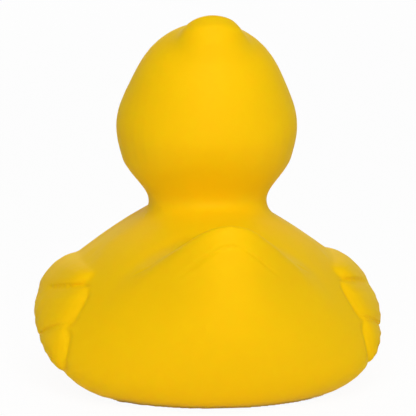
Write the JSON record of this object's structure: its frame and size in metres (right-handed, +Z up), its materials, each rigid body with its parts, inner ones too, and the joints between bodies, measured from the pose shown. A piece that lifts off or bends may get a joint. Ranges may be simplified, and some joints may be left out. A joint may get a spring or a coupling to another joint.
{
  "type": "rubber duck",
  "caption": "Hollow moulded bath duck with a pear-shaped head, stepped feather wings and a pointed tail, and a squeaker pressed into its flat base.",
  "frame": {"origin": "on the table plane, under the middle of the duck's length and width", "axes": "+Z up, -Y the way the duck faces, +Y towards the tail, +X to the duck's left"},
  "size_m": [0.0778, 0.078, 0.0829],
  "materials": {
    "yellow_vinyl": "matte",
    "white_plastic": "matte",
    "reed_film": "satin"
  },
  "bodies": {
    "root": {"duck_body": "yellow_vinyl", "squeaker_housing": "white_plastic", "squeaker_reed": "reed_film"}
  },
  "joints": []
}
